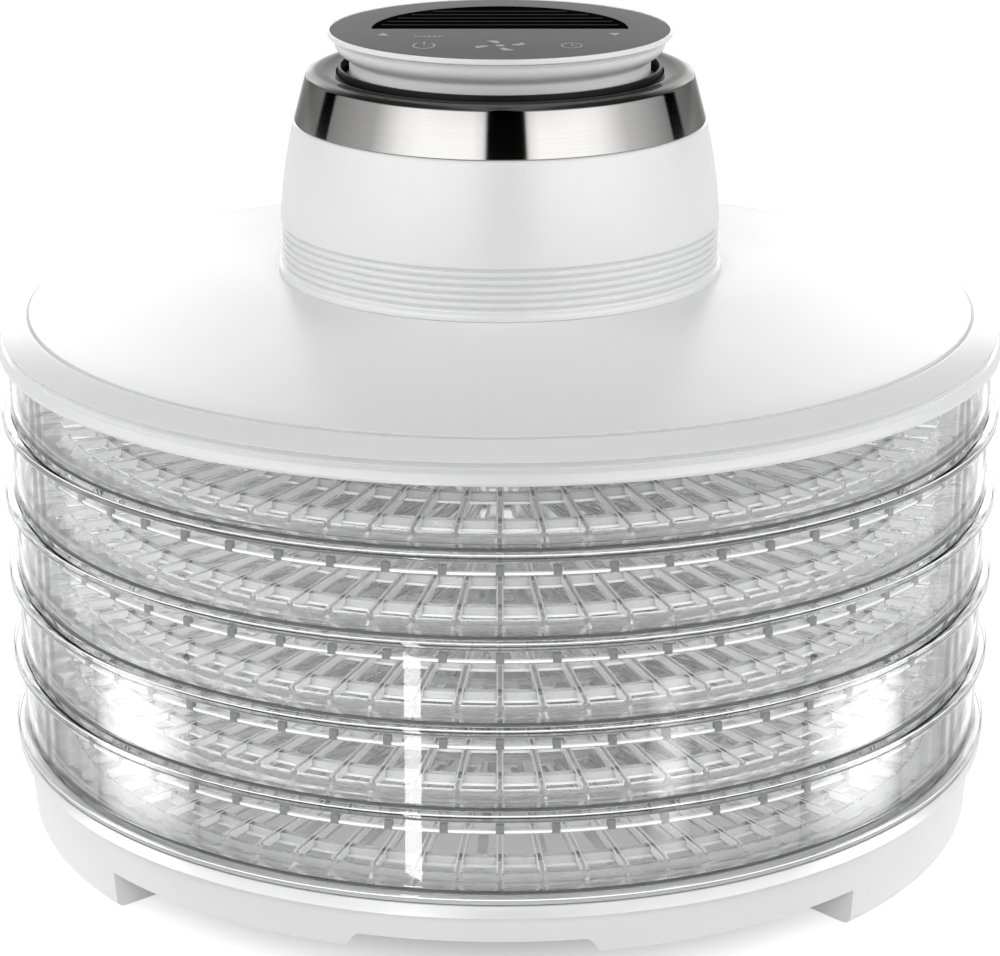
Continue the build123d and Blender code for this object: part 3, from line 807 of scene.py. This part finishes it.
class DEHYDRATOR_OT_housing(PieceOperator, bpy.types.Operator):
    """Model the motor housing with the fine grooves round its foot"""
    bl_idname = "dehydrator.add_housing"
    bl_label = "Motor housing"

    def execute(self, context):
        s = sizes()
        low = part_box("motor_housing")[0].z
        foot, top, wall = 71.9 * MM, 67.1 * MM, 2.5 * MM
        bead = foot + 1.0 * MM
        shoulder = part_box("steel_ring")[0].z
        neck, neck_top = 61.0 * MM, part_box("inlet_grille")[0].z
        corners = [(bead, low, 0.4 * MM), (bead, low + 2.1 * MM, 0.9 * MM), (foot, low + 2.8 * MM, 0.2 * MM)]
        height, half = low + 2.7 * MM, s.groove_width / 2
        for k in range(s.groove_count):
            middle = height + s.groove_pitch / 2
            corners += [(foot, middle - half, 0.25 * MM), (foot - s.groove_depth, middle - 0.7 * half, 0.1 * MM),
                        (foot - s.groove_depth, middle + 0.7 * half, 0.1 * MM), (foot, middle + half, 0.25 * MM)]
            height += s.groove_pitch
        bulge = (foot + top) / 2 + 1.2 * MM
        corners += [
            (foot, height, 0.5 * MM), (bulge, (height + shoulder) / 2, 14.0 * MM), (top, shoulder, 1.0 * MM),
            (neck, shoulder, 0), (neck, neck_top, 0.4 * MM), (neck - wall, neck_top, 0.4 * MM),
            (neck - wall, shoulder - wall, 0), (top - wall, shoulder - wall, 0),
            (foot - wall - s.groove_depth, low, 0.4 * MM)]
        housing = turned("housing_shell", corners)
        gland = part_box("cord_gland")
        middle = (gland[0] + gland[1]) / 2
        count, radius, depth = 40, 6.05 * MM, 50.0 * MM
        hole = [Vector((radius * cos(tau * k / count), depth, middle.z + radius * sin(tau * k / count)))
                for k in range(count)]
        combine(housing, prism("cutter", hole, (0.0, depth, 0.0)), "DIFFERENCE")
        finish_piece(housing, white_plastic(), "white_plastic", "head", "motor_housing")
        return {"FINISHED"}


class DEHYDRATOR_OT_steel_ring(PieceOperator, bpy.types.Operator):
    """Model the brushed steel ring with its rolled shoulder and inner lip"""
    bl_idname = "dehydrator.add_steel_ring"
    bl_label = "Steel ring"

    def execute(self, context):
        low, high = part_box("steel_ring")
        wall, top = 1.0 * MM, low.z + 13.5 * MM
        foot = high.x
        ring = turned("steel_band", [
            (foot - wall, low.z, 0.2 * MM), (foot, low.z, 0.3 * MM), (62.9 * MM, top + 1.1 * MM, 0.5 * MM),
            (60.4 * MM, top + 2.5 * MM, 1.3 * MM), (57.1 * MM, high.z, 1.2 * MM),
            (52.9 * MM, high.z - 0.8 * MM, 0.3 * MM), (53.4 * MM, high.z - 1.3 * MM, 0.3 * MM),
            (57.1 * MM, high.z - wall, 1.0 * MM), (59.8 * MM, top + 1.5 * MM, 1.0 * MM),
            (62.2 * MM, top - 0.5 * MM, 1.6 * MM)], FINE_STEPS)
        # The crown of the rolled shoulder gets a painted dark reflection
        steel = brushed("brushed steel", colours().steel, 0.1, along=2.0, spread=0.06, contrast=0.08,
                        anisotropy=0.97, painted_dark_crown=top + 1.3 * MM, edge=0.38)
        finish_piece(ring, steel, "brushed_steel", "head", "steel_ring")
        return {"FINISHED"}


class DEHYDRATOR_OT_cap(PieceOperator, bpy.types.Operator):
    """Model the white cap with its collar, flared rim and seat for the panel"""
    bl_idname = "dehydrator.add_cap"
    bl_label = "Cap"

    def execute(self, context):
        low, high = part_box("cap_shell")
        rim, collar = high.x, 48.7 * MM
        inner, seat, ledge = collar - 2.2 * MM, rim - 0.7 * MM, 43.0 * MM
        panel_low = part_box("control_panel")[0].z
        under, taper = panel_low - 2.3 * MM, high.z - 1.8 * MM
        cap = turned("cap_rim", [
            (ledge, under, 0), (seat - 1.5 * MM, under, 0), (seat - 0.8 * MM, taper - 0.3 * MM, 0.1 * MM),
            (rim - 0.4 * MM, taper, 0.3 * MM), (rim, taper + 0.2 * MM, 0.2 * MM), (rim, high.z, 0.3 * MM),
            (seat, high.z, 0.2 * MM), (seat, panel_low, 0), (ledge, panel_low, 0)])
        finish_piece(cap, white_plastic(), "white_plastic", "head", "cap_shell")
        ring = turned("cap_collar", [
            (inner, low.z, 0.4 * MM), (collar, low.z, 0.4 * MM), (collar, low.z + 6.3 * MM, 1.0 * MM),
            (53.0 * MM, low.z + 8.6 * MM, 2.4 * MM), (seat - 1.0 * MM, panel_low - 0.3 * MM, 0.1 * MM),
            (seat - 1.6 * MM, under, 0), (inner, under, 0)])
        matt_white = moulded("collar plastic", colours().collar, 0.4, 1100.0, 0.00001, 0.06, 0.02)
        finish_piece(ring, matt_white, "white_plastic", "head")
        return {"FINISHED"}


class DEHYDRATOR_OT_panel(PieceOperator, bpy.types.Operator):
    """Model the touch panel and its printed symbols"""
    bl_idname = "dehydrator.add_panel"
    bl_label = "Touch panel"

    def execute(self, context):
        low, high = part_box("control_panel")
        s = sizes()
        radius, top = high.x, high.z - s.symbol_height - 0.02 * MM
        panel = turned("touch_panel", [
            (0.0, low.z, 0), (radius, low.z, 0.2 * MM), (radius, top, 0.4 * MM), (0.0, top, 0)])
        opening, straight = 41.4 * MM, -1.1 * MM
        combine(panel, plate("cutter", half_round(opening, straight, low.z - MM), CUT_DEPTH), "DIFFERENCE")
        grey = moulded("panel grey", colours().panel, grain=2200.0, shine=0.15, **PRINT)
        finish_piece(panel, grey, "panel_grey", "head", "control_panel")
        self.symbols(top)
        return {"FINISHED"}

    def symbols(self, top):
        """Power, fan, timer, arrows and a row of digits, as thin print on the panel."""
        thick = sizes().symbol_height
        parts = []

        def add(points):
            parts.append(plate("symbol", [Vector((x * MM, y * MM, top)) for x, y in points], thick))

        def arc(x, y, radius, width, start, end, stretch=1.0, steps=28):
            turns = [radians(start + (end - start) * k / steps) for k in range(steps + 1)]
            outer, inner = [[(x + reach * cos(turn), y + reach * stretch * sin(turn)) for turn in turns]
                            for reach in (radius + width / 2, radius - width / 2)]
            add(outer + inner[::-1])

        def ring(x, y, radius, width, stretch):
            for start in (0, 180):
                arc(x, y, radius, width, start, start + 180, stretch, 14)

        def bar(x0, y0, x1, y1, width):
            along = Vector((x1 - x0, y1 - y0)).normalized()
            side = Vector((-along.y, along.x)) * width / 2
            add([(x0 + side.x, y0 + side.y), (x0 - side.x, y0 - side.y),
                 (x1 - side.x, y1 - side.y), (x1 + side.x, y1 + side.y)])

        x, y = -23.8, -31.0
        arc(x, y, 3.4, 0.55, 130, 410, 1.45)
        bar(x, y + 1.6, x, y + 6.4, 0.55)
        x, y = 0.0, -31.0
        for k in range(4):
            turn = radians(90 * k + 20)
            leaf = [(3.4, -0.5), (5.0, -1.9), (7.6, -1.6), (8.4, 0.3), (7.9, 2.0), (6.4, 0.7), (4.6, 0.6)]
            add([(x + u * cos(turn) - v * sin(turn), y + (u * sin(turn) + v * cos(turn)) * 1.1) for u, v in leaf])
        ring(x, y, 0.75, 1.5, 1.1)
        x, y = 22.4, -31.0
        ring(x, y, 3.2, 0.5, 1.3)
        bar(x, y, x, y + 2.8, 0.5)
        bar(x, y, x + 1.8, y - 0.9, 0.5)
        for x, y, way in ((-37.3, -11.7, 1), (36.5, -11.7, -1)):
            add([(x - way * 2.0, y - way * 2.2), (x + way * 2.0, y - way * 2.2), (x, y + way * 2.6)])
        for k in range(5):
            ring(-26.4 + 1.9 * k, -15.4, 0.55, 0.28, 1.9)
        ink = moulded("symbol print", colours().symbol, grain=2600.0, **PRINT)
        finish_piece(join_pieces("panel_symbols", parts), ink, "panel_grey", "head")


def half_round(radius, straight, height, steps=72):
    """Points of the part of a circle behind a straight edge."""
    start = atan2(straight, (radius ** 2 - straight ** 2) ** 0.5)
    return [plan_point(radius, start + (pi - 2 * start) * k / steps, height) for k in range(steps + 1)]


class DEHYDRATOR_OT_louvre(PieceOperator, bpy.types.Operator):
    """Model the black half-round louvre with its upright slats and painted highlights along their tops"""
    bl_idname = "dehydrator.add_louvre"
    bl_label = "Louvre"

    def execute(self, context):
        low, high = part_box("top_louvre")
        radius, straight, frame_width = high.x, low.y, 2.0 * MM
        top = high.z - 0.1 * MM
        crest = top - 0.25 * MM
        louvre = plate("louvre", half_round(radius, straight, low.z), top - low.z)
        inside = half_round(radius - frame_width, straight + frame_width, low.z - MM)
        combine(louvre, plate("cutter", inside, CUT_DEPTH), "DIFFERENCE")
        slats, highlight_strips = [], []
        count = sizes().slat_count
        first, last = straight + frame_width, radius - frame_width
        pitch = (last - first) / (count + 1)
        for k in range(count):
            y = first + (k + 1) * pitch
            reach = ((radius - 0.6 * MM) ** 2 - y ** 2) ** 0.5
            slats.append(self.slat("slat", reach, y, low.z + 0.1 * MM, crest, 1.4 * MM))
            # Painted highlight: a paler strip along the top of each slat
            highlight_strips.append(self.slat("line", reach - 1.6 * MM, y - 0.4 * MM, crest, top - 0.1 * MM, 0.6 * MM))
        combine(louvre, join_pieces("slats", slats), "UNION")
        matt = moulded("matt black plastic", colours().louvre, 0.9, shine=0.0, **DARK)
        finish_piece(louvre, matt, "black_plastic", "head", "top_louvre")
        painted_slat_highlight = moulded("slat edges", colours().slat_painted_highlight, 0.8, shine=0.0, **DARK)
        finish_piece(join_pieces("louvre_edges", highlight_strips), painted_slat_highlight, "black_plastic", "head")
        return {"FINISHED"}

    def slat(self, name, reach, y, low, high, width):
        front, back = y - width / 2, y + width / 2
        section = [Vector((-reach, *corner)) for corner in ((front, low), (back, low), (back, high), (front, high))]
        return prism(name, section, (2 * reach, 0.0, 0.0))


class DEHYDRATOR_OT_inside(PieceOperator, bpy.types.Operator):
    """Give the pieces that stay as CAD solids their finishes"""
    bl_idname = "dehydrator.finish_inside"
    bl_label = "Inside pieces"

    def execute(self, context):
        # Each finish: its tone, then roughness, grain, depth, spread and contrast
        screws = moulded("screw steel", (0.55, 0.55, 0.55), **ZINC)
        finishes = {
            "base_floor": white_plastic(),
            "fan_guard": white_plastic(),
            "foot_pads": moulded("foot rubber", (0.05, 0.05, 0.052), 0.75, 900.0, 0.00006, 0.15, 0.15),
            "inlet_grille": black_plastic(),
            "cord_gland": black_plastic(),
            "control_board": moulded("board lacquer", (0.03, 0.2, 0.09), 0.3, 300.0, 0.00002, 0.2, 0.35),
            "touch_pads": moulded("touch foam", (0.1, 0.1, 0.1), 0.9, 1500.0, 0.0002, 0.1, 0.2),
            "motor": moulded("motor plating", (0.35, 0.36, 0.37), **ZINC),
            "motor_bracket": moulded("zinc plate", (0.6, 0.6, 0.6), **ZINC),
            "fan_shaft": brushed("ground steel", (0.6, 0.6, 0.6), 0.2, 4000.0),
            "fan_rotor": moulded("fan plastic", (0.04, 0.04, 0.045), 0.45, 1200.0, 0.00004),
            "heater_frame": moulded("heat-proof moulding", (0.08, 0.075, 0.07), 0.7, 700.0, 0.00008, 0.15, 0.15),
            "heater_packs": moulded("bare fins", (0.75, 0.75, 0.75), **ZINC),
            "thermal_cutout": moulded("cut-out can", (0.7, 0.69, 0.66), **ZINC),
            "lid_screws": screws,
            "bracket_screws": screws,
        }
        for node, finish in finishes.items():
            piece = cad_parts[node]
            piece.data.materials.clear()
            piece.data.materials.append(finish)
        return {"FINISHED"}


class DEHYDRATOR_OT_stage(PieceOperator, bpy.types.Operator):
    """Set the floor, the studio light and the camera"""
    bl_idname = "dehydrator.set_stage"
    bl_label = "Stage"

    def execute(self, context):
        scene = context.scene
        scene.view_settings.view_transform = "Standard"
        for kind, count in BOUNCES.items():
            setattr(scene.cycles, kind, count)
        self.camera(scene)
        self.floor()
        self.world(scene)
        for side in (-1, 1):
            self.light("side_light", (side * 0.72, -0.1, 0.6), (0.5, 0.8), studio().side_power)
        self.light("front_light", (0.0, -1.5, 0.95), (1.4, 0.8), studio().front_power)
        self.card("strip_light", (-0.067, -0.2606), (-0.053, -0.2554), 0.08, studio().strip_glow)
        self.card("band_light", (0.0978, -0.2435), (0.1252, -0.2217), 0.08, studio().band_glow, soft=True)
        for name, side in (("left_glow", -1), ("right_glow", 1)):
            self.card(name, (side * 0.167, -0.158), (side * 0.2, -0.079), 0.075, studio().side_glow, soft=True)
        return {"FINISHED"}

    def camera(self, scene):
        bpy.ops.object.camera_add(location=studio().camera_place, rotation=(studio().camera_tilt, 0.0, 0.0))
        camera = bpy.context.object
        camera.data.lens = studio().lens
        camera.data.sensor_width = SENSOR_WIDTH
        scene.camera = camera

    def light(self, name, place, size, power):
        bpy.ops.object.light_add(type="AREA", location=place)
        lamp = bpy.context.object
        lamp.name = name
        lamp.data.shape = "RECTANGLE"
        lamp.data.size, lamp.data.size_y = size
        lamp.data.energy = power
        aim = Vector(LIGHT_AIM) - lamp.location
        lamp.rotation_euler = aim.to_track_quat("-Z", "Y").to_euler()
        lamp.visible_glossy = False
        lamp.visible_transmission = False

    def card(self, name, near, far, height, glow, soft=False):
        """An upright bright card from one plan point to another, seen only in reflections.

        A soft card fades from its middle to its edges.
        """
        foot, thickness = 2.0 * MM, 0.5 * MM
        corners = [(*near, foot), (*far, foot), (*far, height), (*near, height)]
        card = prism(name, [Vector(corner) for corner in corners], (0.0, thickness, 0.0))
        material, tree, shader = new_material(name)
        strength = glow
        if soft:
            x, y, z = place_parts(tree, "Generated")
            hills = [math_node(tree, "SUBTRACT", part, math_node(tree, "MULTIPLY", part, part)) for part in (x, z)]
            strength = math_node(tree, "MULTIPLY", math_node(tree, "MULTIPLY", *hills), 16 * glow)
        feed(tree, shader, {"Base Color": neutral(0.0), "Specular IOR Level": 0.0, "Emission Color": neutral(1.0),
                            "Emission Strength": strength})
        card.data.materials.append(material)
        for kind in ("camera", "diffuse", "transmission", "shadow", "volume_scatter"):
            setattr(card, f"visible_{kind}", False)

    def floor(self):
        """A white floor that is bright to the eye, with a painted shadow that dims its glow under the object, and still
        takes its shadow.
        """
        bpy.ops.object.select_all(action="DESELECT")
        bpy.ops.mesh.primitive_plane_add(size=FLOOR_SIZE)
        floor = bpy.context.object
        floor.name = "floor"
        material, tree, shader = new_material("studio floor")
        feed(tree, shader, {"Base Color": neutral(0.8), "Roughness": 0.9, "Specular IOR Level": 0.0})
        path = tree.nodes.new("ShaderNodeLightPath")
        seen = math_node(tree, "MAXIMUM", path.outputs["Is Camera Ray"],
                         math_node(tree, "MAXIMUM", path.outputs["Is Glossy Ray"],
                                   path.outputs["Is Transmission Ray"]))
        # Painted shadow: the glow drops from 0.95 to 0.3 within 0.16 m of the axis
        away = fed_node(tree, "VectorMath", {0: place_node(tree)})
        away.operation = "LENGTH"
        under = range_node(tree, away.outputs["Value"], 0.12, 0.16, to_low=0.3, to_high=0.95)
        glow = fed_node(tree, "Emission", {"Strength": under})
        dim = fed_node(tree, "BsdfDiffuse", {"Color": neutral(0.3)})
        lit = fed_node(tree, "AddShader", {0: glow.outputs[0], 1: dim.outputs[0]})
        surface_by(tree, seen, shader, lit)
        floor.data.materials.append(material)

    def world(self, scene):
        """White to the camera, soft fill for the object, and soft boxes between dark flags in reflections."""
        world = bpy.data.worlds.new("studio")
        scene.world = world
        world.use_nodes = True
        tree = world.node_tree
        path = tree.nodes.new("ShaderNodeLightPath")
        x, y, z = place_parts(tree, "Generated")
        turn = math_node(tree, "ARCTAN2", x, math_node(tree, "MULTIPLY", y, -1.0))
        round_part = math_node(tree, "ADD", math_node(tree, "DIVIDE", turn, tau), 0.5)
        flags = ramp_node(tree, round_part, [(degrees / 360 + 0.5, level) for degrees, level in FLAGS])
        boxes = math_node(tree, "MULTIPLY", flags, range_node(tree, z, 0.32, 0.65, to_low=1.0, to_high=0.1))
        gloss = math_node(tree, "MULTIPLY", boxes, studio().studio_gloss)
        through = math_node(tree, "MULTIPLY", math_node(tree, "MAXIMUM", flags, 0.25), studio().clear_light)
        strength = range_node(tree, z, 0.15, 0.7, to_low=studio().fill, to_high=0.07)
        for kind, light in (("Glossy", gloss), ("Transmission", through), ("Camera", 1.0)):
            choice = {"Factor": path.outputs[f"Is {kind} Ray"], "A": strength, "B": light}
            strength = fed_node(tree, "Mix", choice).outputs["Result"]
        feed(tree, tree.nodes["Background"], {"Color": neutral(1.0), "Strength": strength})


PIECES = (DEHYDRATOR_OT_base, DEHYDRATOR_OT_trays, DEHYDRATOR_OT_lid, DEHYDRATOR_OT_housing,
          DEHYDRATOR_OT_steel_ring, DEHYDRATOR_OT_cap, DEHYDRATOR_OT_panel, DEHYDRATOR_OT_louvre,
          DEHYDRATOR_OT_inside, DEHYDRATOR_OT_stage)


class DEHYDRATOR_PT_pieces(bpy.types.Panel):
    """Lists the pieces in the order they are made"""
    bl_label = "Food Dehydrator"
    bl_idname = "DEHYDRATOR_PT_pieces"
    bl_space_type = "VIEW_3D"
    bl_region_type = "UI"
    bl_category = "Dehydrator"

    def draw(self, context):
        for piece in PIECES:
            self.layout.operator(piece.bl_idname)


CLASSES = (DehydratorSizes, DehydratorColours, StudioSettings, *PIECES, DEHYDRATOR_PT_pieces)


def register():
    for item in CLASSES:
        bpy.utils.register_class(item)
    bpy.types.Scene.dehydrator_sizes = PointerProperty(type=DehydratorSizes)
    bpy.types.Scene.dehydrator_colours = PointerProperty(type=DehydratorColours)
    bpy.types.Scene.dehydrator_studio = PointerProperty(type=StudioSettings)


def unregister():
    del bpy.types.Scene.dehydrator_studio
    del bpy.types.Scene.dehydrator_colours
    del bpy.types.Scene.dehydrator_sizes
    for item in reversed(CLASSES):
        bpy.utils.unregister_class(item)


def main():
    register()
    bpy.ops.dehydrator.add_base()
    bpy.ops.dehydrator.add_trays()
    bpy.ops.dehydrator.add_lid()
    bpy.ops.dehydrator.add_housing()
    bpy.ops.dehydrator.add_steel_ring()
    bpy.ops.dehydrator.add_cap()
    bpy.ops.dehydrator.add_panel()
    bpy.ops.dehydrator.add_louvre()
    bpy.ops.dehydrator.finish_inside()
    bpy.ops.dehydrator.set_stage()


if __name__ == "__main__":
    main()
